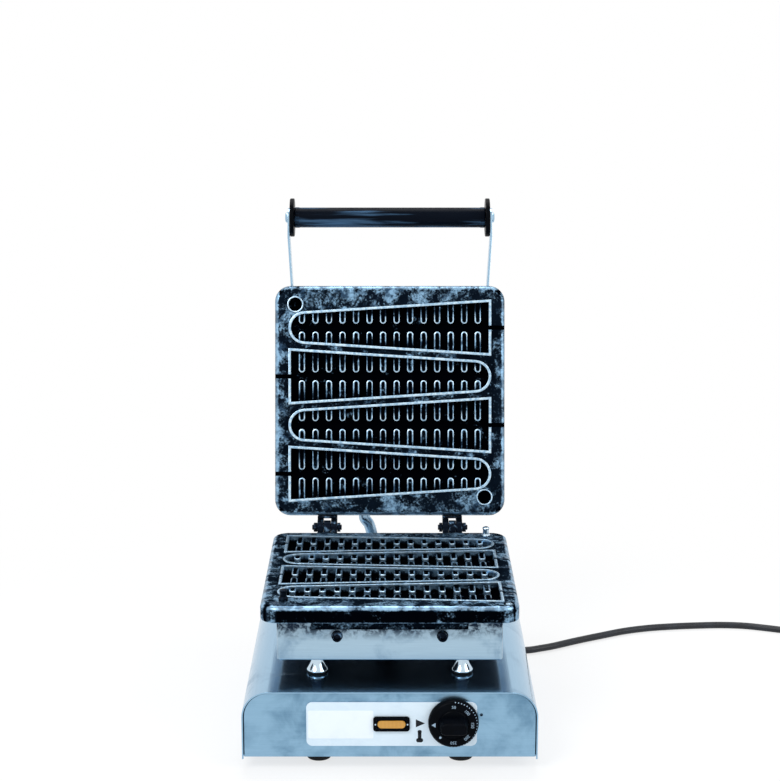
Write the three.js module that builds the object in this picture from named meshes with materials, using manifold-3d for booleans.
// A countertop waffle on a stick maker, lid open. Millimetres, +X right, +Y back, +Z up.
// Pieces are placed from the base's front edge and the floor; the group then centres the machine.
import * as THREE from "three";
import { mergeVertices } from "three/addons/utils/BufferGeometryUtils.js";
import Module from "manifold-3d";

const wasm = await Module();
wasm.setup();

// Shared by all pieces
const sheet = 1.5;
const gap = 0.3;
const cutOverrun = 2;
const weldDistance = 0.0001;
const wideSides = 32;
const sides = 16;
const fineSides = 12;
const fewSides = 8;
const hexSides = 6;
const arcSteps = 6;
const cornerSteps = 3;

// Base
const baseWidth = 300;
const baseDepth = 300;
const baseTop = 84;
const baseCornerRadius = 27;
const skirtHeight = 12;
const returnFlange = 16;
const panelInset = 2.5;
const panelFlange = 14;

// Feet
const footRadius = 13;
const footRimHeight = 1.5;
const footShoulderHeight = 6;
const footTopRadius = 10.5;
const footSpacing = 146;
const footInset = 35;
const footStudRadius = 2.5;
const footStudReach = 5;

// Controls on the front panel
const controlPlateWidth = 172.7;
const controlPlateHeight = 47;
const controlPlateRadius = 6;
const controlPlateThickness = 1;
const controlPlateX = 1.9;
const controlPlateZ = 49.5;
const knobX = 64.3;
const knobZ = 52.1;
const knobRadius = 25.6;
const knobRimDepth = 2.5;
const knobFaceRadius = 22.8;
const knobSkirtDepth = 8;
const knobStandOff = 1.2;
const gripBarLength = 28;
const gripBarWidth = 14;
const gripBarDepth = 14;
const gripBarRadius = 3.5;
const spindleRadius = 3;
const spindleSocketDepth = 12;
const thermostatWidth = 40;
const thermostatHeight = 36;
const thermostatDepth = 30;
const thermostatBossRadius = 6;
const spindleBoreDepth = 12;
const lampX = 1.7;
const lampZ = 50.1;
const bezelWidth = 37;
const bezelHeight = 15.6;
const bezelRadius = 3;
const bezelProud = 2.2;
const lampBodyWidth = 31;
const lampBodyHeight = 11;
const lampBodyDepth = 14;
const lampBodyRadius = 1.5;
const lensWidth = 28.4;
const lensHeight = 8.4;
const lensProud = 0.9;
const lensSeatDepth = 2;

// Standoffs between base and tray
const standoffSideInset = 41;
const standoffEndInset = 15;
const standoffPadThickness = 1.7;
const standoffPadRadius = 10;
const standoffHeight = 15.4;
const standoffNeckRadius = 5.8;
const standoffBellRadius = 11;
const standoffFootRadius = 10.6;
const bellRimLowShare = 0.03;
const bellRimHighShare = 0.09;
const bellWaistShare = 0.36;
const bellNeckShare = 0.78;
const studRadius = 3;
const studReach = 5;
const ductOuterRadius = 9;
const ductInnerRadius = 7;
const ductCollarRadius = 12.5;
const ductReach = 4;
const ductSetback = 90;

// Lower tray
const trayHeight = 44;
const traySetback = 19;
const traySideInset = 16.5;
const trayEndInset = 14;
const trayCornerRadius = 4;
const trayScrewX = 54;
const trayScrewDrop = 17.6;
const trayNotchWidth = 161;
const trayNotchDepth = 11;
const screwRadius = 3;
const screwHeadRadius = 5;
const screwHeadLength = 6;
const screwReach = 10;
const hexKeyRadius = 2.9;
const hexKeyDepth = 3.2;

// The two cast plates
const plateSize = 265;
const plateThickness = 18.8;
const plateCornerRadius = 18;
const plateEdgeChamfer = 2;
const lipHeight = 1.3;
const lipWidth = 3;
const mouldCount = 4;
const mouldEndMargin = 15.5;
const mouldSideMargin = 20.1;
const mouldNesting = 9;
const mouldTipRadius = 18.9;
const mouldDepth = 9;
const ribCount = 14;
const ribEndInset = 15.6;
const ribWidth = 7.3;
const ribSpineGap = 8.7;
const ribDrop = 0.85;
const stickSlotWidth = 5;
const stickSlotDepth = 5;
const castOverlap = 0.65;
const closedGap = 0.4;
const lugBarWidth = 176;
const lugBarDepth = 12;
const lugBelowScrew = 9;
const pinSideInset = 23.5;
const pinEndInset = 21.3;
const pinBaseRadius = 5;
const pinBaseHeight = 3;
const pinNeckRadius = 3.5;
const pinCapRadius = 4;
const pinCapRound = 1.5;
const pinHeight = 12.3;
const pinStudLength = 9;
const socketRadius = 7.8;
const socketRingRadius = 9.4;
const socketSpare = 1.6;
const plugSideInset = 10.9;
const plugEndInset = 11.2;
const plugRadius = 3.8;
const plugRecessRadius = 6;
const plugRecessDepth = 1.5;
const plugLength = 9;

// Heaters and what presses them on
const heaterRadius = 3.2;
const heaterEndInset = 22;
const heaterRunPitch = 60;
const heaterSides = 6;
const heaterSteps = 40;
const heaterBendSteps = 4;
const boardInset = 32.5;
const boardThickness = 8;
const bulbRadius = 3;
const bulbHalfLength = 38;
const capillaryRadius = 1.2;
const capillarySides = 6;
const capillarySteps = 50;
const capillaryLead = 12;
const capillaryDip = 6;
const capillaryTurnX = 50;
const capillaryRunX = 8;
const capillaryRunDrop = 18;
const capillaryDuctClear = 25;
const capillaryTail = 36;

// Hinges
const hingeX = 72;
const hingeSetback = 13.3;
const hingeFootWidth = 22.6;
const hingeFootThickness = 3;
const hingeFootHeight = 16;
const hingeFootClear = 2.5;
const hingeEarRadius = 8;
const earArcFromDegrees = 144;
const earArcToDegrees = -72;
const stopHeelTop = 3.2;
const stopHeelLow = 9;
const knuckleWidth = 7.8;
const earClearance = 0.4;
const hingeBoltRadius = 3;
const hingeHeadRadius = 5.5;
const hingeHeadLength = 6.5;
const hingeNutLength = 4;
const lidOpenDegrees = 102.35;

// Lid cover and handle
const coverSideInset = 20;
const coverHeight = 44;
const armThickness = 2.5;
const armWidth = 22;
const armCentreRise = 34;
const armOverlap = 66;
const handleReach = 81.5;
const armFlatAtGrip = 23;
const gripRadius = 12;
const gripEndInset = 1.4;
const gripBoreDepth = 20;
const discRadius = 22.3;
const discThickness = 5;
const handleBoltHeadRadius = 6;
const handleBoltCrownRadius = 4.2;
const handleBoltHeadLength = 3;
const handleBoltReach = 14;

// Conduit between lid and base
const conduitRadius = 6.6;
const conduitBore = 5;
const conduitSides = 10;
const conduitSteps = 22;
const conduitLidX = -29.5;
const conduitLidRise = 40;
const conduitBaseX = -6;
const conduitBaseZ = 58;
const conduitGlandRadius = 10;
const conduitGlandLength = 12;
const glandNeckRadius = 8;
const glandInnerLength = 4;

// Mains cord, its gland, coil and plug
const cordRadius = 4.1;
const cordSides = 8;
const cordSteps = 44;
const cordExitX = 32;
const cordExitZ = 30;
const glandFlangeRadius = 12;
const glandFlangeLength = 5;
const reliefRootRadius = 8.2;
const reliefTipRadius = 5.4;
const reliefLength = 26;
const coilLoops = 4;
const coilLastShare = 0.25;
const coilClimbShare = 0.5;
const coilLead = 8.2;
const cordDrawnFrom = 119.416;
const coilMeanRadius = 47;
const coilPitch = 9;
const coilSides = 6;
const coilSteps = 24;
const plugBodyRadius = 17.5;
const plugBodyLength = 38;
const plugNeckRadius = 8.75;
const plugReliefTipRadius = 5.6;
const plugFaceRadius = 18.5;
const plugFaceLength = 8;
const plugReliefLength = 28;
const plugShoulderLength = 10;
const plugPinRadius = 2.4;
const plugPinLength = 19;
const plugPinSpacing = 19;

// Terminal block inside the base
const terminalWidth = 48;
const terminalDepth = 20;
const terminalHeight = 18;
const terminalX = -60;
const terminalSetback = 70;
const terminalSlotDepth = 4;
const terminalSlotShare = 0.6;
const terminalWays = 3;

// Heights and places that follow from the sizes above
const halfBase = baseWidth / 2;
const panelFront = panelInset;
const panelBack = panelInset + sheet;
const controlBack = panelFront - gap;
const controlFront = controlBack - controlPlateThickness;
const knobBack = controlFront - knobStandOff;
const knobFront = knobBack - knobSkirtDepth - gripBarDepth;
const bottomPlateLow = skirtHeight + sheet + gap;
const bottomPlateHigh = bottomPlateLow + sheet;
const padLow = baseTop + gap;
const standoffLow = padLow + standoffPadThickness + gap;
const trayLow = standoffLow + standoffHeight + gap;
const trayTop = trayLow + trayHeight;
const trayWidth = plateSize - 2 * traySideInset;
const trayDepth = plateSize - 2 * trayEndInset;
const trayFront = baseDepth - traySetback - trayDepth;
const trayBack = trayFront + trayDepth;
const trayMiddle = (trayFront + trayBack) / 2;
const plateLow = trayTop + gap;
const hingeZ = plateLow + plateThickness + closedGap / 2;
const plateFront = trayMiddle - plateSize / 2;
const plateBack = trayMiddle + plateSize / 2;
const hingeY = plateBack + hingeSetback;
const lipTop = hingeZ - closedGap / 2;
const mouldLength = plateSize - 2 * mouldEndMargin;
const mouldPitch = (plateSize - 2 * mouldSideMargin) / mouldCount;
const mouldWideWidth = mouldPitch + mouldNesting;
const ribPitch = (mouldLength - 2 * ribEndInset) / (ribCount - 1);
const pinX = plateSize / 2 - pinSideInset;
const plugX = plateSize / 2 - plugSideInset;
const boardWidth = plateSize - 2 * boardInset;
const heaterRunHalf = boardWidth / 2 - heaterEndInset;
const coverWidth = plateSize - 2 * coverSideInset;
const gripLength = coverWidth - 2 * gripEndInset;
const lidPlateTop = hingeZ + closedGap / 2 + plateThickness;
const coverLow = lidPlateTop + gap;
const coverTop = coverLow + coverHeight;
const handleY = plateFront - handleReach;
const handleZ = hingeZ + armCentreRise;
const discInner = gripLength / 2 + gap;
const discOuter = discInner + discThickness;
const armInnerAtGrip = discOuter + gap;
const armInnerAtCover = coverWidth / 2 + gap;
const ductY = trayBack - ductSetback;
const trayScrewZ = trayTop - trayScrewDrop;
const lean = THREE.MathUtils.degToRad(lidOpenDegrees) - Math.PI / 2;
const handleBackOpen = hingeY + Math.sin(lean) * (hingeY - handleY)
  + Math.cos(lean) * armCentreRise + discRadius;
const originBack = (knobFront + handleBackOpen) / 2;

// Turns a closed three.js geometry into a solid that can be joined and cut
function solidOf(geometry) {
  geometry.deleteAttribute("normal");
  geometry.deleteAttribute("uv");
  const welded = mergeVertices(geometry, weldDistance);
  const vertProperties = welded.attributes.position.array;
  const triVerts = new Uint32Array(welded.index.array);
  return new wasm.Manifold(new wasm.Mesh({ numProp: 3, vertProperties, triVerts }));
}

function geometryOf(solid) {
  const mesh = solid.getMesh();
  const geometry = new THREE.BufferGeometry();
  geometry.setAttribute("position", new THREE.BufferAttribute(mesh.vertProperties, mesh.numProp));
  geometry.setIndex(new THREE.BufferAttribute(mesh.triVerts, 1));
  const faceted = geometry.toNonIndexed();
  faceted.computeVertexNormals();
  return faceted;
}

function join(solids) {
  return solids.reduce((sum, solid) => sum.add(solid));
}

// A round bar or cone from one point to another
function rod(start, end, radius, endRadius = radius, sideCount = sides) {
  const from = new THREE.Vector3(...start);
  const to = new THREE.Vector3(...end);
  const along = to.clone().sub(from);
  const geometry = new THREE.CylinderGeometry(endRadius, radius, along.length(), sideCount);
  const turn = new THREE.Quaternion().setFromUnitVectors(new THREE.Vector3(0, 1, 0),
    along.clone().normalize());
  geometry.applyQuaternion(turn);
  geometry.translate(...from.add(to).divideScalar(2).toArray());
  return solidOf(geometry);
}

// A thin bar or a small hole
function smallRod(start, end, radius) {
  return rod(start, end, radius, radius, fineSides);
}

// A block between its lowest and its highest corner
function block(low, high) {
  const size = high.map((value, i) => value - low[i]);
  const middle = high.map((value, i) => (value + low[i]) / 2);
  return solidOf(new THREE.BoxGeometry(...size).translate(...middle));
}

// An outline in (x, y), raised between two heights
function prismUp(shape, low, high) {
  const settings = { depth: high - low, bevelEnabled: false, curveSegments: arcSteps };
  return solidOf(new THREE.ExtrudeGeometry(shape, settings).translate(0, 0, low));
}

// An outline in (x, z), drawn out from front to back
function prismBack(shape, front, back) {
  const settings = { depth: back - front, bevelEnabled: false, curveSegments: arcSteps };
  const geometry = new THREE.ExtrudeGeometry(shape, settings);
  return solidOf(geometry.rotateX(Math.PI / 2).translate(0, back, 0));
}

// An outline in (y, z), drawn out from left to right
function prismAcross(shape, left, right) {
  const settings = { depth: right - left, bevelEnabled: false, curveSegments: arcSteps };
  const geometry = new THREE.ExtrudeGeometry(shape, settings);
  const turn = new THREE.Matrix4().makeBasis(
    new THREE.Vector3(0, 1, 0), new THREE.Vector3(0, 0, 1), new THREE.Vector3(1, 0, 0));
  return solidOf(geometry.applyMatrix4(turn).translate(left, 0, 0));
}

// A profile of [radius, height] points turned about Z at x, y
function turned(profile, x, y, sideCount = sides) {
  const points = profile.map(([radius, height]) => new THREE.Vector2(radius, height));
  const geometry = new THREE.LatheGeometry(points, sideCount);
  return solidOf(geometry.rotateX(Math.PI / 2).translate(x, y, 0));
}

function outline(points) {
  return new THREE.Shape(points.map(([a, b]) => new THREE.Vector2(a, b)));
}

function arc(x, y, radius, from, to, steps = arcSteps) {
  return Array.from({ length: steps + 1 }, (_, i) => {
    const angle = from + (to - from) * i / steps;
    return [x + radius * Math.cos(angle), y + radius * Math.sin(angle)];
  });
}

function roundedBox(left, low, right, high, radius, steps = cornerSteps) {
  return outline([
    ...arc(right - radius, low + radius, radius, -Math.PI / 2, 0, steps),
    ...arc(right - radius, high - radius, radius, 0, Math.PI / 2, steps),
    ...arc(left + radius, high - radius, radius, Math.PI / 2, Math.PI, steps),
    ...arc(left + radius, low + radius, radius, Math.PI, Math.PI * 1.5, steps),
  ]);
}

function roundedAbout(x, z, width, height, radius) {
  return roundedBox(x - width / 2, z - height / 2, x + width / 2, z + height / 2, radius);
}

// A round tube along a smooth line through the points
function tubeThrough(points, radius, sideCount, steps) {
  const path = new THREE.CatmullRomCurve3(points.map((point) => new THREE.Vector3(...point)),
    false, "centripetal");
  const section = outline(arc(0, 0, radius, 0, Math.PI * 2, sideCount).slice(0, sideCount));
  const settings = { steps, extrudePath: path, bevelEnabled: false };
  return solidOf(new THREE.ExtrudeGeometry(section, settings));
}

// Finishes
function metal(colour, roughness) {
  return new THREE.MeshStandardMaterial({ color: colour, roughness, metalness: 1 });
}

function plain(colour, roughness) {
  return new THREE.MeshStandardMaterial({ color: colour, roughness, metalness: 0 });
}

const stainless = metal(0xb4bcc4, 0.3);
const chrome = metal(0xd8dde2, 0.08);
const castIron = metal(0x3c4248, 0.5);
const darkSteel = metal(0x26282b, 0.45);
const heaterSteel = metal(0x5a5651, 0.5);
const blackPlastic = plain(0x0e0f11, 0.35);
const blackRubber = plain(0x141416, 0.7);
const whitePlate = plain(0xe8eef2, 0.4);
const amberLens = plain(0xd08a1c, 0.2);
const greyBoard = plain(0x9b968a, 0.9);
const ceramic = plain(0xd9d4c6, 0.6);

const machine = new THREE.Group();
machine.position.y = -originBack;
const lid = new THREE.Group();
lid.position.set(0, hingeY, hingeZ);
lid.rotation.x = -THREE.MathUtils.degToRad(lidOpenDegrees);
machine.add(lid);
const cordGroup = new THREE.Group();
const whole = new THREE.Group();
whole.add(machine, cordGroup);

function addPiece(name, solid, finish, holder = machine) {
  const geometry = solid.isBufferGeometry ? solid : geometryOf(solid);
  const mesh = new THREE.Mesh(geometry, finish);
  mesh.name = name;
  holder.add(mesh);
}

// The lid is modelled closed, then hangs from the hinge line and opens with it
function addLidPiece(name, solid, finish) {
  const geometry = geometryOf(solid).translate(0, -hingeY, -hingeZ);
  addPiece(name, geometry, finish, lid);
}

// Base: a sheet bent over the top and both sides, with a flange turned in at each lower edge
function baseCover() {
  const middleX = halfBase - baseCornerRadius;
  const middleZ = baseTop - baseCornerRadius;
  const innerRadius = baseCornerRadius - sheet;
  const flangeX = halfBase - returnFlange;
  const wrap = outline([
    [-flangeX, skirtHeight],
    [-halfBase, skirtHeight],
    ...arc(-middleX, middleZ, baseCornerRadius, Math.PI, Math.PI / 2),
    ...arc(middleX, middleZ, baseCornerRadius, Math.PI / 2, 0),
    [halfBase, skirtHeight],
    [flangeX, skirtHeight],
    [flangeX, skirtHeight + sheet],
    [halfBase - sheet, skirtHeight + sheet],
    ...arc(middleX, middleZ, innerRadius, 0, Math.PI / 2),
    ...arc(-middleX, middleZ, innerRadius, Math.PI / 2, Math.PI),
    [-halfBase + sheet, skirtHeight + sheet],
    [-flangeX, skirtHeight + sheet],
  ]);
  const low = baseTop - sheet - cutOverrun;
  const high = baseTop + cutOverrun;
  const holes = standoffPlaces().map(([, x, y]) => smallRod([x, y, low], [x, y, high], studRadius + gap));
  holes.push(rod([0, ductY, low], [0, ductY, high], ductOuterRadius + gap));
  return prismBack(wrap, 0, baseDepth).subtract(join(holes));
}

// Front and rear panels fill the ends of the wrap
function endPanel(front) {
  const reach = halfBase - sheet - gap;
  const top = baseTop - sheet - gap;
  const radius = baseCornerRadius - sheet - gap;
  const shape = outline([
    [-reach, bottomPlateLow],
    [reach, bottomPlateLow],
    ...arc(reach - radius, top - radius, radius, 0, Math.PI / 2),
    ...arc(-reach + radius, top - radius, radius, Math.PI / 2, Math.PI),
  ]);
  return prismBack(shape, front, front + sheet);
}

function panelFoot(front, back) {
  const reach = halfBase - sheet - gap;
  const low = bottomPlateHigh + gap;
  return block([-reach, front, low], [reach, back, low + sheet]);
}

function standoffPlaces() {
  const front = trayFront + standoffEndInset;
  const back = trayBack - standoffEndInset;
  const side = trayWidth / 2 - standoffSideInset;
  return [["front_left", -side, front], ["front_right", side, front],
    ["rear_left", -side, back], ["rear_right", side, back]];
}

function footPlaces() {
  const side = footSpacing / 2;
  const back = baseDepth - footInset;
  return [["front_left", -side, footInset], ["front_right", side, footInset],
    ["rear_left", -side, back], ["rear_right", side, back]];
}

function makeBase() {
  addPiece("base_cover", baseCover(), stainless);

  const spindleHole = rod([knobX, controlFront - cutOverrun, knobZ],
    [knobX, panelBack + cutOverrun, knobZ], thermostatBossRadius + gap);
  const lampHole = prismBack(
    roundedAbout(lampX, lampZ, lampBodyWidth + 2 * gap, lampBodyHeight + 2 * gap, lampBodyRadius),
    controlFront - cutOverrun, panelBack + cutOverrun);
  const panelCuts = spindleHole.add(lampHole);
  const front = endPanel(panelFront).add(panelFoot(panelFront, panelFront + panelFlange));
  addPiece("front_panel", front.subtract(panelCuts), stainless);

  const rearFace = baseDepth - panelInset;
  const rearInside = rearFace - sheet;
  const throughRear = (x, z) => rod([x, rearInside - cutOverrun, z],
    [x, rearFace + cutOverrun, z], glandNeckRadius + gap);
  const rear = endPanel(rearInside).add(panelFoot(rearFace - panelFlange, rearFace));
  const rearHoles = throughRear(cordExitX, cordExitZ).add(throughRear(conduitBaseX, conduitBaseZ));
  addPiece("rear_panel", rear.subtract(rearHoles), stainless);

  const reach = halfBase - sheet - gap;
  const bottom = block([-reach, panelBack + gap, bottomPlateLow], [reach, rearInside - gap, bottomPlateHigh]);
  const studHoles = footPlaces().map(([, x, y]) => smallRod([x, y, bottomPlateLow - cutOverrun],
    [x, y, bottomPlateHigh + cutOverrun], footStudRadius + gap));
  addPiece("bottom_plate", bottom.subtract(join(studHoles)), stainless);

  const footTop = bottomPlateLow - gap;
  for (const [place, x, y] of footPlaces()) {
    const profile = [[0, 0], [footRadius - footRimHeight, 0], [footRadius, footRimHeight],
      [footRadius, footShoulderHeight], [footTopRadius, footTop], [footStudRadius, footTop],
      [footStudRadius, bottomPlateHigh + footStudReach], [0, bottomPlateHigh + footStudReach]];
    addPiece(`foot_${place}`, turned(profile, x, y), blackRubber);
  }

  const controlShape = roundedAbout(controlPlateX, controlPlateZ, controlPlateWidth,
    controlPlateHeight, controlPlateRadius);
  const control = prismBack(controlShape, controlFront, controlBack);
  addPiece("control_plate", control.subtract(panelCuts), whitePlate);
}

function makeLamp() {
  const bezelBack = controlFront - gap;
  const bezelFront = bezelBack - bezelProud;
  const frame = prismBack(roundedAbout(lampX, lampZ, bezelWidth, bezelHeight, bezelRadius),
    bezelFront, bezelBack);
  const body = prismBack(roundedAbout(lampX, lampZ, lampBodyWidth, lampBodyHeight, lampBodyRadius),
    bezelBack - bezelProud / 2, controlFront + lampBodyDepth);
  const seat = prismBack(
    roundedAbout(lampX, lampZ, lensWidth + 2 * gap, lensHeight + 2 * gap, lensHeight / 2),
    bezelFront - cutOverrun, bezelFront + lensSeatDepth);
  addPiece("lamp_bezel", frame.add(body).subtract(seat), blackPlastic);
  const lens = prismBack(roundedAbout(lampX, lampZ, lensWidth, lensHeight, lensHeight / 2),
    bezelFront - lensProud, bezelFront + lensSeatDepth - gap);
  addPiece("lamp_lens", lens, amberLens);
}

function makeThermostat() {
  const bodyFront = panelBack + gap;
  const bodyBack = bodyFront + thermostatDepth;
  const body = block([knobX - thermostatWidth / 2, bodyFront, knobZ - thermostatHeight / 2],
    [knobX + thermostatWidth / 2, bodyBack, knobZ + thermostatHeight / 2]);
  const boss = rod([knobX, controlFront, knobZ], [knobX, bodyFront + sheet, knobZ], thermostatBossRadius);
  const boreEnd = bodyFront + spindleBoreDepth;
  const bore = smallRod([knobX, controlFront - cutOverrun, knobZ], [knobX, boreEnd, knobZ],
    spindleRadius + gap);
  addPiece("thermostat_body", body.add(boss).subtract(bore), ceramic);
  const socketEnd = knobBack - spindleSocketDepth;
  const spindle = smallRod([knobX, socketEnd + gap, knobZ], [knobX, boreEnd - gap, knobZ], spindleRadius);
  addPiece("thermostat_spindle", spindle, heaterSteel);

  const skirtFront = knobBack - knobSkirtDepth;
  const rimFront = knobBack - knobRimDepth;
  const rim = rod([knobX, knobBack, knobZ], [knobX, rimFront, knobZ], knobRadius, knobRadius, wideSides);
  const cone = rod([knobX, rimFront, knobZ], [knobX, skirtFront, knobZ], knobRadius, knobFaceRadius,
    wideSides);
  const skirt = rim.add(cone);
  const bar = prismBack(
    roundedAbout(knobX, knobZ, gripBarLength, gripBarWidth, gripBarRadius),
    knobFront, skirtFront + knobSkirtDepth / 2);
  const socket = smallRod([knobX, knobBack + cutOverrun, knobZ], [knobX, socketEnd, knobZ],
    spindleRadius + gap);
  addPiece("knob", skirt.add(bar).subtract(socket), blackPlastic);

  const rear = bodyBack + gap;
  const bulbY = trayMiddle + heaterRunPitch / 2;
  const bulbZ = plateLow - gap - bulbRadius;
  const besideBoard = (boardWidth / 2 + trayWidth / 2 - sheet) / 2;
  const underBoard = bulbZ - boardThickness - capillaryLead;
  const route = [
    [0, bulbY, bulbZ],
    [bulbHalfLength + bulbRadius, bulbY, bulbZ],
    [boardWidth / 2 - capillaryLead, bulbY, bulbZ],
    [besideBoard, bulbY, bulbZ - capillaryDip],
    [besideBoard - bulbRadius, bulbY, underBoard],
    [capillaryTurnX, ductY, trayLow + ductInnerRadius],
    [ductOuterRadius, ductY, trayLow + ductInnerRadius],
    [0, ductY, trayLow - ductInnerRadius],
    [0, ductY, baseTop - sheet],
    [capillaryRunX, ductY - capillaryDuctClear, baseTop - capillaryRunDrop],
    [knobX / 2, ductY / 2, baseTop - capillaryRunDrop],
    [knobX, rear + capillaryTail, knobZ],
    [knobX, rear, knobZ],
  ];
  const capillary = tubeThrough(route, capillaryRadius, capillarySides, capillarySteps);
  const bulb = rod([-bulbHalfLength, bulbY, bulbZ], [bulbHalfLength, bulbY, bulbZ],
    bulbRadius, bulbRadius, fewSides);
  addPiece("thermostat_bulb", capillary.add(bulb), heaterSteel);
}

function makeTerminalBlock() {
  const low = bottomPlateHigh + gap;
  const back = baseDepth - terminalSetback;
  const body = block([terminalX, back - terminalDepth, low],
    [terminalX + terminalWidth, back, low + terminalHeight]);
  const wayWidth = terminalWidth / terminalWays;
  const slotWidth = wayWidth * terminalSlotShare;
  const slots = Array.from({ length: terminalWays }, (_, i) => {
    const left = terminalX + wayWidth * (i + 0.5) - slotWidth / 2;
    const top = low + terminalHeight;
    return block([left, back - terminalDepth - cutOverrun, top - terminalSlotDepth],
      [left + slotWidth, back + cutOverrun, top + cutOverrun]);
  });
  addPiece("terminal_block", body.subtract(join(slots)), ceramic);
}

function makeStandoffs() {
  const high = standoffLow + standoffHeight;
  const upBell = (share) => standoffLow + standoffHeight * share;
  for (const [place, x, y] of standoffPlaces()) {
    const pad = [[studRadius + gap, padLow], [standoffPadRadius, padLow],
      [standoffPadRadius, padLow + standoffPadThickness],
      [studRadius + gap, padLow + standoffPadThickness], [studRadius + gap, padLow]];
    addPiece(`standoff_pad_${place}`, turned(pad, x, y, fineSides), blackRubber);
    const bell = [[0, baseTop - sheet - studReach], [studRadius, baseTop - sheet - studReach],
      [studRadius, standoffLow], [standoffFootRadius, standoffLow],
      [standoffBellRadius, upBell(bellRimLowShare)], [standoffBellRadius, upBell(bellRimHighShare)],
      [(standoffBellRadius + standoffNeckRadius) / 2, upBell(bellWaistShare)],
      [standoffNeckRadius, upBell(bellNeckShare)], [standoffNeckRadius, high],
      [studRadius, high], [studRadius, trayLow + sheet + studReach], [0, trayLow + sheet + studReach]];
    addPiece(`standoff_${place}`, turned(bell, x, y), chrome);
  }
  const collarLow = trayLow + sheet + gap;
  const duct = [[ductInnerRadius, baseTop - sheet - ductReach],
    [ductOuterRadius, baseTop - sheet - ductReach],
    [ductOuterRadius, collarLow], [ductCollarRadius, collarLow], [ductCollarRadius, collarLow + sheet],
    [ductInnerRadius, collarLow + sheet], [ductInnerRadius, baseTop - sheet - ductReach]];
  addPiece("wiring_duct", turned(duct, 0, ductY), heaterSteel);
}

// An open sheet box, mouth up
function openBox(width, low, high) {
  const outer = roundedBox(-width / 2, trayFront, width / 2, trayBack, trayCornerRadius);
  const inner = roundedBox(-width / 2 + sheet, trayFront + sheet, width / 2 - sheet,
    trayBack - sheet, trayCornerRadius - sheet);
  return prismUp(outer, low, high).subtract(prismUp(inner, low + sheet, high + cutOverrun));
}

function makeTray() {
  const holes = standoffPlaces().map(([, x, y]) => smallRod([x, y, trayLow - cutOverrun],
    [x, y, trayLow + sheet + cutOverrun], studRadius + gap));
  holes.push(rod([0, ductY, trayLow - cutOverrun], [0, ductY, trayLow + sheet + cutOverrun],
    ductOuterRadius + gap));
  for (const x of [-trayScrewX, trayScrewX]) {
    holes.push(smallRod([x, trayFront - cutOverrun, trayScrewZ],
      [x, trayFront + sheet + cutOverrun, trayScrewZ],
      screwRadius + gap));
  }
  // A shallow notch in the front wall shows the plate's cast bar
  holes.push(block([-trayNotchWidth / 2, trayFront - cutOverrun, trayTop - trayNotchDepth],
    [trayNotchWidth / 2, trayFront + sheet + gap / 2, trayTop + cutOverrun]));
  addPiece("lower_tray", openBox(trayWidth, trayLow, trayTop).subtract(join(holes)), stainless);
  const headBack = trayFront - gap;
  const headFront = headBack - screwHeadLength;
  for (const [side, x] of [["left", -trayScrewX], ["right", trayScrewX]]) {
    const head = rod([x, headFront, trayScrewZ], [x, headBack, trayScrewZ], screwHeadRadius);
    const shank = smallRod([x, headBack - screwHeadLength / 2, trayScrewZ],
      [x, trayFront + sheet + screwReach, trayScrewZ], screwRadius);
    const key = rod([x, headFront - cutOverrun, trayScrewZ], [x, headFront + hexKeyDepth, trayScrewZ],
      hexKeyRadius, hexKeyRadius, hexSides);
    addPiece(`tray_screw_${side}`, head.add(shank).subtract(key), darkSteel);
  }
}

// One mould seen from above, its tip at x = 0 and its wide end at +x, drawn in by inset
const mouldAxisX = mouldTipRadius;
const mouldSlant = (() => {
  const across = mouldLength - mouldAxisX;
  const rise = mouldWideWidth / 2;
  return Math.atan2(rise, across) + Math.acos(mouldTipRadius / Math.hypot(across, rise));
})();

// Half the mould's width at a distance from its tip
function mouldHalfWidth(x, inset) {
  const radius = mouldTipRadius - inset;
  if (x < mouldAxisX + radius * Math.cos(mouldSlant)) {
    return Math.sqrt(radius ** 2 - (x - mouldAxisX) ** 2);
  }
  return (mouldAxisX * Math.cos(mouldSlant) + radius - x * Math.cos(mouldSlant)) / Math.sin(mouldSlant);
}

function mouldOutline(inset) {
  const end = mouldLength - inset;
  const half = mouldHalfWidth(end, inset);
  const tip = arc(mouldAxisX, 0, mouldTipRadius - inset, mouldSlant, 2 * Math.PI - mouldSlant, 2 * arcSteps);
  return [[end, -half], [end, half], ...tip];
}

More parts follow.
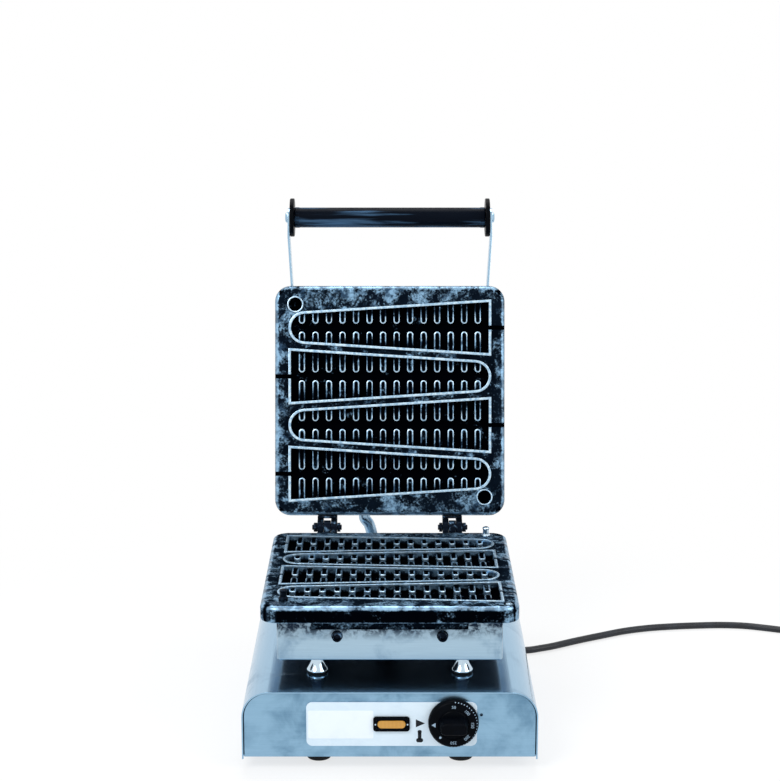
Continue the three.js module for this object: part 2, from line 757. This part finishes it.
// One cast plate, face up about its own middle, lips at z = 0. wideSide is where the rear mould is wide.
function castPlate(wideSide) {
  const half = plateSize / 2;
  const shape = roundedBox(-half, -half, half, half, plateCornerRadius, arcSteps);
  const bevel = { depth: plateThickness - lipHeight - 2 * plateEdgeChamfer, bevelEnabled: true,
    bevelThickness: plateEdgeChamfer, bevelSize: plateEdgeChamfer, bevelOffset: -plateEdgeChamfer,
    bevelSegments: 1, curveSegments: arcSteps };
  const slab = new THREE.ExtrudeGeometry(shape, bevel).translate(0, 0, -plateThickness + plateEdgeChamfer);
  const lips = [];
  const cavities = [];
  const ribs = [];
  for (let i = 0; i < mouldCount; i += 1) {
    const y = (i - (mouldCount - 1) / 2) * mouldPitch;
    const side = i % 2 === 0 ? -wideSide : wideSide;
    const place = ([x, across]) => [side * (x - mouldLength / 2), y + across];
    lips.push(prismUp(outline(mouldOutline(0).map(place)), -lipHeight - castOverlap, 0));
    cavities.push(prismUp(outline(mouldOutline(lipWidth).map(place)), -mouldDepth, cutOverrun));
    const slotFrom = side * (mouldLength / 2 - 2 * lipWidth);
    const slotTo = side * (half + cutOverrun);
    cavities.push(block([Math.min(slotFrom, slotTo), y - stickSlotWidth / 2, -stickSlotDepth],
      [Math.max(slotFrom, slotTo), y + stickSlotWidth / 2, cutOverrun]));
    for (let column = 0; column < ribCount; column += 1) {
      const x = mouldLength / 2 + (column - (ribCount - 1) / 2) * ribPitch;
      for (const bank of [-1, 1]) {
        const wall = mouldHalfWidth(x, lipWidth) + lipWidth / 2;
        const nose = ribSpineGap / 2 + ribWidth / 2;
        const rib = [[x - ribWidth / 2, wall],
          ...arc(x, nose, ribWidth / 2, Math.PI, 2 * Math.PI, cornerSteps),
          [x + ribWidth / 2, wall]];
        const placed = rib.map(([a, b]) => place([a, b * bank]));
        ribs.push(prismUp(outline(placed), -mouldDepth - castOverlap, -lipHeight - ribDrop));
      }
    }
  }
  const body = solidOf(slab).add(join(lips)).subtract(join(cavities)).add(join(ribs));
  return body.add(plateLugBar());
}

// A cast bar below the plate's front takes the box's two screws
function plateLugBar() {
  const front = trayFront + sheet + gap - trayMiddle;
  const back = front + lugBarDepth;
  const screwZ = -plateThickness - gap - trayScrewDrop;
  const bar = block([-lugBarWidth / 2, front, screwZ - lugBelowScrew],
    [lugBarWidth / 2, back, -plateThickness + gap]);
  const holes = [-trayScrewX, trayScrewX].map((x) => smallRod([x, front - cutOverrun, screwZ],
    [x, back + cutOverrun, screwZ], screwRadius + gap));
  return bar.subtract(join(holes));
}

function pinPlaces() {
  const reach = plateSize / 2 - pinEndInset;
  return [["rear_right", pinX, reach], ["front_left", -pinX, -reach]];
}

function makeLowerPlate() {
  const bodyTop = -lipHeight;
  const holes = pinPlaces().map(([, x, y]) => smallRod([x, y, bodyTop - pinStudLength - gap],
    [x, y, cutOverrun], pinNeckRadius + gap));
  const plugY = -plateSize / 2 + plugEndInset;
  holes.push(rod([plugX, plugY, bodyTop - plugRecessDepth], [plugX, plugY, cutOverrun], plugRecessRadius));
  holes.push(smallRod([plugX, plugY, bodyTop - plugLength - gap], [plugX, plugY, cutOverrun],
    plugRadius + gap));
  const plate = castPlate(-1).subtract(join(holes)).translate(0, trayMiddle, lipTop);
  addPiece("lower_plate", plate, castIron);

  const face = lipTop - lipHeight;
  for (const [place, x, y] of pinPlaces()) {
    const low = face - pinStudLength;
    const shoulder = face + gap;
    const profile = [[0, low], [pinNeckRadius, low], [pinNeckRadius, shoulder], [pinBaseRadius, shoulder],
      [pinBaseRadius, shoulder + pinBaseHeight], [pinNeckRadius, shoulder + pinBaseHeight + pinCapRound],
      [pinNeckRadius, face + pinHeight - 2 * pinCapRound], [pinCapRadius, face + pinHeight - pinCapRound],
      [pinCapRadius - pinCapRound, face + pinHeight], [0, face + pinHeight]];
    const finish = place === "rear_right" ? stainless : darkSteel;
    addPiece(`pin_${place}`, turned(profile, x, y + trayMiddle, fineSides), finish);
  }
  const plugPlace = plugY + trayMiddle;
  const plug = smallRod([plugX, plugPlace, face - plugLength], [plugX, plugPlace, face], plugRadius);
  addPiece("corner_plug", plug, stainless);
}

// A looped rod heater pressed on a plate's back, with a board behind it. way is +1 above the plate.
function heaterSet(plateBack, way) {
  const z = plateBack + way * (gap + heaterRadius);
  const points = [];
  for (let run = 0; run < 3; run += 1) {
    const heading = run % 2 === 0 ? 1 : -1;
    const y = trayMiddle + (run - 1) * heaterRunPitch;
    points.push([-heading * heaterRunHalf, y, z], [0, y, z], [heading * heaterRunHalf, y, z]);
    if (run < 2) {
      const bend = heaterRunPitch / 2;
      const from = heading > 0 ? -Math.PI / 2 : Math.PI * 1.5;
      const loop = arc(heading * heaterRunHalf, y + bend, bend, from, Math.PI / 2, heaterBendSteps);
      points.push(...loop.slice(1, -1).map(([a, b]) => [a, b, z]));
    }
  }
  const heater = tubeThrough(points, heaterRadius, heaterSides, heaterSteps);
  const near = plateBack + way * (2 * gap + 2 * heaterRadius);
  const far = near + way * boardThickness;
  const half = boardWidth / 2;
  const board = block([-half, trayMiddle - half, Math.min(near, far)],
    [half, trayMiddle + half, Math.max(near, far)]);
  return [heater, board];
}

// A heel on the lid's lugs that lands on the lower foot when the lid is open, drawn with the lid closed
function stopHeel(left, right) {
  const face = -(hingeSetback - gap - hingeFootThickness - gap);
  const open = [[face, -stopHeelTop], [face, -stopHeelLow], [0, -hingeEarRadius], [0, 0]];
  const angle = THREE.MathUtils.degToRad(lidOpenDegrees);
  const closed = open.map(([y, z]) => [
    hingeY + y * Math.cos(angle) - z * Math.sin(angle), hingeZ + y * Math.sin(angle) + z * Math.cos(angle)]);
  return prismAcross(outline(closed), left, right);
}

// A hinge bracket: a foot on the plate's rear face and lugs out to the pivot. way is +1 for the lid's.
function hingeBracket(x, way) {
  const footBack = plateBack + gap;
  const half = hingeFootWidth / 2;
  const heights = [hingeZ + way * hingeFootClear, hingeZ + way * hingeFootHeight];
  const foot = block([x - half, footBack, Math.min(...heights)],
    [x + half, footBack + hingeFootThickness, Math.max(...heights)]);
  const [earFrom, earTo] = [earArcFromDegrees, earArcToDegrees].map(THREE.MathUtils.degToRad);
  const round = arc(hingeY, 0, hingeEarRadius, earFrom, earTo, 2 * arcSteps);
  const shape = [[footBack, -hingeFootHeight], [footBack, -hingeFootClear], ...round];
  const ear = outline(shape.map(([y, z]) => [y, hingeZ - way * z]));
  const knuckleHalf = knuckleWidth / 2;
  const besideKnuckle = knuckleHalf + earClearance;
  const spans = way < 0 ? [[x - knuckleHalf, x + knuckleHalf]]
    : [[x - half, x - besideKnuckle], [x + besideKnuckle, x + half]];
  const lugs = spans.map(([left, right]) => prismAcross(ear, left, right));
  if (way > 0) {
    lugs.push(...spans.map(([left, right]) => stopHeel(left, right)));
  }
  const bore = smallRod([x - half - cutOverrun, hingeY, hingeZ], [x + half + cutOverrun, hingeY, hingeZ],
    hingeBoltRadius + gap);
  return foot.add(join(lugs)).subtract(bore);
}

function makeHinges() {
  for (const [side, x, inward] of [["left", -hingeX, 1], ["right", hingeX, -1]]) {
    addPiece(`lower_hinge_bracket_${side}`, hingeBracket(x, -1), darkSteel);
    addLidPiece(`upper_hinge_bracket_${side}`, hingeBracket(x, 1), darkSteel);
    const headAt = x + inward * (hingeFootWidth / 2 + gap);
    const nutAt = x - inward * (hingeFootWidth / 2 + gap);
    const nutEnd = nutAt - inward * hingeNutLength;
    const at = (along) => [along, hingeY, hingeZ];
    const head = rod(at(headAt), at(headAt + inward * hingeHeadLength),
      hingeHeadRadius, hingeHeadRadius, hexSides);
    const shank = smallRod(at(headAt + inward * hingeHeadLength / 2), at(nutEnd), hingeBoltRadius);
    addPiece(`hinge_bolt_${side}`, head.add(shank), darkSteel);
    const nut = rod(at(nutAt), at(nutEnd), hingeHeadRadius, hingeHeadRadius, hexSides);
    const thread = smallRod(at(nutAt + inward * cutOverrun), at(nutEnd - inward * cutOverrun),
      hingeBoltRadius + gap);
    addPiece(`hinge_nut_${side}`, nut.subtract(thread), darkSteel);
  }
}

function makeLid() {
  const bodyTop = -lipHeight;
  const rings = [];
  const sockets = [];
  for (const [, x, y] of pinPlaces()) {
    rings.push(rod([-x, y, bodyTop - castOverlap], [-x, y, 0], socketRingRadius));
    const socketEnd = bodyTop - pinHeight - socketSpare + lipHeight;
    sockets.push(rod([-x, y, socketEnd], [-x, y, cutOverrun], socketRadius));
  }
  const faceUp = castPlate(1).add(join(rings)).subtract(join(sockets));
  const faceDown = geometryOf(faceUp).rotateY(Math.PI);
  const plate = solidOf(faceDown).translate(0, trayMiddle, hingeZ + closedGap / 2);
  addLidPiece("upper_plate", plate, castIron);

  const boxUp = openBox(coverWidth, -coverTop, -coverLow);
  const cover = solidOf(geometryOf(boxUp).rotateY(Math.PI));
  const glandZ = hingeZ + conduitLidRise;
  const glandHole = rod([conduitLidX, trayBack - sheet - cutOverrun, glandZ],
    [conduitLidX, trayBack + cutOverrun, glandZ], glandNeckRadius + gap);
  addLidPiece("upper_cover", cover.subtract(glandHole), stainless);

  const [heater, board] = heaterSet(lidPlateTop, 1);
  addLidPiece("upper_heater", heater, heaterSteel);
  addLidPiece("upper_insulation", board, greyBoard);
}

function makeHandle() {
  const armBack = trayFront + armOverlap;
  const low = handleZ - armWidth / 2;
  const high = handleZ + armWidth / 2;
  const tipY = handleY - armWidth / 2;
  const bendY = handleY + armFlatAtGrip;
  const side = outline([[armBack, low], [armBack, high],
    ...arc(handleY, handleZ, armWidth / 2, Math.PI / 2, Math.PI * 1.5, 2 * arcSteps)]);
  for (const [name, way] of [["left", -1], ["right", 1]]) {
    const along = [[armInnerAtCover, armBack], [armInnerAtCover, plateFront], [armInnerAtGrip, bendY],
      [armInnerAtGrip, tipY - cutOverrun], [armInnerAtGrip + armThickness, tipY - cutOverrun],
      [armInnerAtGrip + armThickness, bendY], [armInnerAtCover + armThickness, plateFront],
      [armInnerAtCover + armThickness, armBack]];
    const bar = prismUp(outline(along.map(([x, y]) => [way * x, y])), low - cutOverrun, high + cutOverrun);
    const reach = Math.max(armInnerAtGrip, armInnerAtCover) + armThickness + cutOverrun;
    const trim = prismAcross(side, -reach, reach);
    const at = (out) => [way * out, handleY, handleZ];
    const hole = smallRod(at(discInner - gripBoreDepth), at(reach), screwRadius + gap);
    addLidPiece(`handle_arm_${name}`, bar.intersect(trim).subtract(hole), stainless);
    const disc = rod(at(discInner), at(discOuter), discRadius, discRadius, wideSides).subtract(hole);
    addLidPiece(`handle_disc_${name}`, disc, blackPlastic);
    const headFrom = armInnerAtGrip + armThickness + gap;
    const head = rod(at(headFrom), at(headFrom + handleBoltHeadLength), handleBoltHeadRadius,
      handleBoltCrownRadius);
    const shank = smallRod(at(gripLength / 2 - handleBoltReach), at(headFrom + handleBoltHeadLength / 2),
      screwRadius);
    addLidPiece(`handle_bolt_${name}`, head.add(shank), stainless);
  }
  const ends = [-1, 1].map((way) => smallRod([way * (gripLength / 2 - gripBoreDepth), handleY, handleZ],
    [way * (gripLength / 2 + cutOverrun), handleY, handleZ], screwRadius + gap));
  const grip = rod([-gripLength / 2, handleY, handleZ], [gripLength / 2, handleY, handleZ], gripRadius);
  addLidPiece("handle_grip", grip.subtract(join(ends)), blackPlastic);
}

// A fitting through a wall that faces back: collar inside, neck in the hole, body outside
function conduitGland(x, wallInside, wallOutside, z) {
  const at = (y) => [x, y, z];
  const inner = rod(at(wallInside - gap - glandInnerLength), at(wallInside - gap), conduitGlandRadius);
  const neck = rod(at(wallInside - gap - glandInnerLength / 2), at(wallOutside + gap + glandInnerLength),
    glandNeckRadius);
  const body = rod(at(wallOutside + gap), at(wallOutside + gap + conduitGlandLength), conduitGlandRadius);
  const bore = rod(at(wallInside - gap - glandInnerLength - cutOverrun),
    at(wallOutside + gap + conduitGlandLength + cutOverrun), conduitBore);
  return join([inner, neck, body]).subtract(bore);
}

// A point given beside the closed lid, moved to where it is with the lid open
function onOpenLid(x, y, z) {
  const point = new THREE.Vector3(x, y - hingeY, z - hingeZ);
  point.applyAxisAngle(new THREE.Vector3(1, 0, 0), -THREE.MathUtils.degToRad(lidOpenDegrees));
  return [point.x, point.y + hingeY, point.z + hingeZ];
}

function makeConduit() {
  const rearFace = baseDepth - panelInset;
  addPiece("conduit_gland_lower",
    conduitGland(conduitBaseX, rearFace - sheet, rearFace, conduitBaseZ), chrome);
  const lidZ = hingeZ + conduitLidRise;
  addLidPiece("conduit_gland_upper", conduitGland(conduitLidX, trayBack - sheet, trayBack, lidZ), chrome);

  const tipOffset = gap + conduitGlandLength + gap;
  const lidTip = onOpenLid(conduitLidX, trayBack + tipOffset, lidZ);
  const lidStraight = onOpenLid(conduitLidX, trayBack + tipOffset + conduitRadius, lidZ);
  const [lidTipX, lidTipY, lidTipZ] = lidTip;
  const drop = lidTipZ - conduitBaseZ;
  const shift = conduitBaseX - lidTipX;
  const baseTip = rearFace + tipOffset;
  const span = lidTipY - baseTip;
  const dropShares = [0.13, 0.3, 0.5, 0.7, 0.88];
  const shiftShares = [0.22, 0.42, 0.62, 0.8, 0.93];
  const spanShares = [1, 1.02, 1.02, 0.92, 0.62];
  const middle = dropShares.map((share, i) => [
    lidTipX + shift * shiftShares[i], baseTip + span * spanShares[i], lidTipZ - drop * share]);
  const route = [lidTip, lidStraight, ...middle,
    [conduitBaseX, baseTip + conduitRadius, conduitBaseZ], [conduitBaseX, baseTip, conduitBaseZ]];
  addPiece("conduit", tubeThrough(route, conduitRadius, conduitSides, conduitSteps), chrome);
}

// The mains cord, from the middle of the machine. Its route is chosen by hand and comes down to the floor.
const cordRoute = [
  [32, 119.8, 30], [32, 130, 29.6], [33.2, 142, 27.6], [38.5, 155.5, 23.2], [49, 166.5, 17.2],
  [63.5, 172.5, 11.8], [80, 172.3, 7.6], [96, 166, 5.4], [110, 155, 4.6], [122, 143.5, 4.4],
  [134.5, 133.8, 4.4], [149, 128.8, 4.4], [165.5, 130.4, 4.4], [180.2, 136.6, 4.4], [195.1, 144, 4.4],
  [225.5, 163.1, 4.4], [256.3, 180.6, 4.4], [287.3, 197.2, 4.4], [318, 207.8, 4.4], [348.2, 213.5, 4.4],
  [378.1, 216.9, 4.4], [408.1, 218.6, 4.4], [437, 215.4, 4.4], [464.7, 206.1, 4.4], [488, 197.5, 4.4],
  [512, 192.6, 4.4], [534, 191, 4.4], [546.5, 191, 4.4],
];
// From the last loop, down to the plug that lies beside the coil
const tailRoute = [[612, 121, 15], [614, 108, 17.6], [614.5, 98, 18.6], [614.5, 88, 18.6]];

// The coil's middle line: a straight entry, loops that spiral in, climb and spiral out, and the tail
function coilLine() {
  const [entryX, entryY, entryZ] = cordRoute[cordRoute.length - 1];
  const startX = entryX + gap;
  const centreX = startX + coilLead;
  const turnsInLayer = coilLoops / 2;
  const outerRadius = coilMeanRadius + coilPitch * turnsInLayer / 2;
  const centreY = entryY - outerRadius;
  const points = [new THREE.Vector3(startX, entryY, entryZ)];
  const turns = coilLoops + coilLastShare;
  const steps = Math.round(turns * coilSteps);
  for (let i = 0; i <= steps; i += 1) {
    const turn = turns * i / steps;
    const fromReverse = turn - turnsInLayer;
    const radius = outerRadius - coilPitch * (turnsInLayer - Math.abs(fromReverse));
    const climb = THREE.MathUtils.clamp(fromReverse / coilClimbShare + coilClimbShare, 0, 1);
    const angle = Math.PI / 2 - turn * 2 * Math.PI;
    points.push(new THREE.Vector3(centreX + radius * Math.cos(angle), centreY + radius * Math.sin(angle),
      entryZ + coilPitch * climb));
  }
  const lastLoop = points.length - 1;
  const tail = new THREE.CatmullRomCurve3(
    [points[lastLoop - 1], points[lastLoop], ...tailRoute.map((point) => new THREE.Vector3(...point))],
    false, "centripetal");
  points.push(...tail.getPoints(coilSteps).filter((point) => point.y < points[lastLoop].y - cordRadius));
  return points;
}

// A closed round tube through close points that never stand upright
function tubeOnPoints(points, radius, sideCount) {
  const up = new THREE.Vector3(0, 0, 1);
  const corners = [];
  points.forEach((point, i) => {
    const before = points[Math.max(i - 1, 0)];
    const after = points[Math.min(i + 1, points.length - 1)];
    const along = after.clone().sub(before).normalize();
    const across = along.clone().cross(up).normalize();
    const lift = across.clone().cross(along);
    for (let k = 0; k < sideCount; k += 1) {
      const angle = 2 * Math.PI * (k + 0.5) / sideCount;
      const corner = point.clone().addScaledVector(across, radius * Math.cos(angle))
        .addScaledVector(lift, radius * Math.sin(angle));
      corners.push(...corner.toArray());
    }
  });
  const faces = [];
  const last = (points.length - 1) * sideCount;
  for (let i = 0; i < points.length - 1; i += 1) {
    for (let k = 0; k < sideCount; k += 1) {
      const a = i * sideCount + k;
      const b = i * sideCount + (k + 1) % sideCount;
      faces.push(a, a + sideCount, b, b, a + sideCount, b + sideCount);
    }
  }
  for (let k = 1; k < sideCount - 1; k += 1) {
    faces.push(0, k, k + 1, last, last + k + 1, last + k);
  }
  const geometry = new THREE.BufferGeometry();
  geometry.setAttribute("position", new THREE.Float32BufferAttribute(corners, 3));
  geometry.setIndex(faces);
  return geometry;
}

// Least distance between turns of a line, less the cord's own thickness
function leastGap(points, radius, apart) {
  let least = Infinity;
  for (let i = 0; i < points.length; i += 1) {
    for (let k = i + apart; k < points.length; k += 1) {
      least = Math.min(least, points[i].distanceTo(points[k]));
    }
  }
  return least - 2 * radius;
}

function makeCord() {
  const rearFace = baseDepth - panelInset;
  const rearInside = rearFace - sheet;
  const at = (y) => [cordExitX, y, cordExitZ];
  const inner = rod(at(rearInside - gap - glandInnerLength), at(rearInside - gap), glandFlangeRadius);
  const neck = rod(at(rearInside - gap - glandInnerLength / 2), at(rearFace + gap + glandFlangeLength / 2),
    glandNeckRadius);
  const flange = rod(at(rearFace + gap), at(rearFace + gap + glandFlangeLength), glandFlangeRadius);
  const reliefFrom = rearFace + gap + glandFlangeLength;
  const reliefTo = reliefFrom + reliefLength;
  const relief = rod(at(reliefFrom - glandFlangeLength / 2), at(reliefTo), reliefRootRadius, reliefTipRadius);
  addPiece("cord_gland", join([inner, neck, flange, relief]), blackRubber);

  // The cord keeps its drawn shape and starts where the strain relief ends
  cordGroup.position.y = reliefTo - originBack - cordDrawnFrom;
  addPiece("cord_free", tubeThrough(cordRoute, cordRadius, cordSides, cordSteps), blackRubber, cordGroup);
  const line = coilLine();
  const coilGap = leastGap(line, cordRadius, coilSteps / 2);
  console.log("least gap between the coil's turns, mm:", coilGap.toFixed(2));
  addPiece("cord_coil", solidOf(tubeOnPoints(line, cordRadius, coilSides)), blackRubber, cordGroup);

  const [tipX, tipY, tipZ] = tailRoute[tailRoute.length - 1];
  const reliefEnd = tipY - gap - plugReliefLength;
  const shoulderEnd = reliefEnd - plugShoulderLength;
  const bodyEnd = shoulderEnd - plugBodyLength + plugFaceLength;
  const faceEnd = bodyEnd - plugFaceLength;
  const plugAt = (y) => [tipX, y, tipZ];
  const plug = join([
    rod(plugAt(tipY - gap), plugAt(reliefEnd), plugReliefTipRadius, plugNeckRadius),
    rod(plugAt(reliefEnd), plugAt(shoulderEnd), plugNeckRadius, plugBodyRadius),
    rod(plugAt(shoulderEnd), plugAt(bodyEnd), plugBodyRadius),
    rod(plugAt(bodyEnd), plugAt(faceEnd), plugFaceRadius),
    ...[-1, 1].map((way) => rod([tipX + way * plugPinSpacing / 2, faceEnd + cutOverrun, tipZ],
      [tipX + way * plugPinSpacing / 2, faceEnd - plugPinLength, tipZ],
      plugPinRadius, plugPinRadius, fewSides)),
  ]);
  addPiece("plug", plug, blackRubber, cordGroup);
}

makeBase();
makeLamp();
makeThermostat();
makeTerminalBlock();
makeStandoffs();
makeTray();
makeLowerPlate();
const [lowerHeater, lowerBoard] = heaterSet(plateLow, -1);
addPiece("lower_heater", lowerHeater, heaterSteel);
addPiece("lower_insulation", lowerBoard, greyBoard);
makeHinges();
makeLid();
makeHandle();
makeConduit();
makeCord();

export default whole;
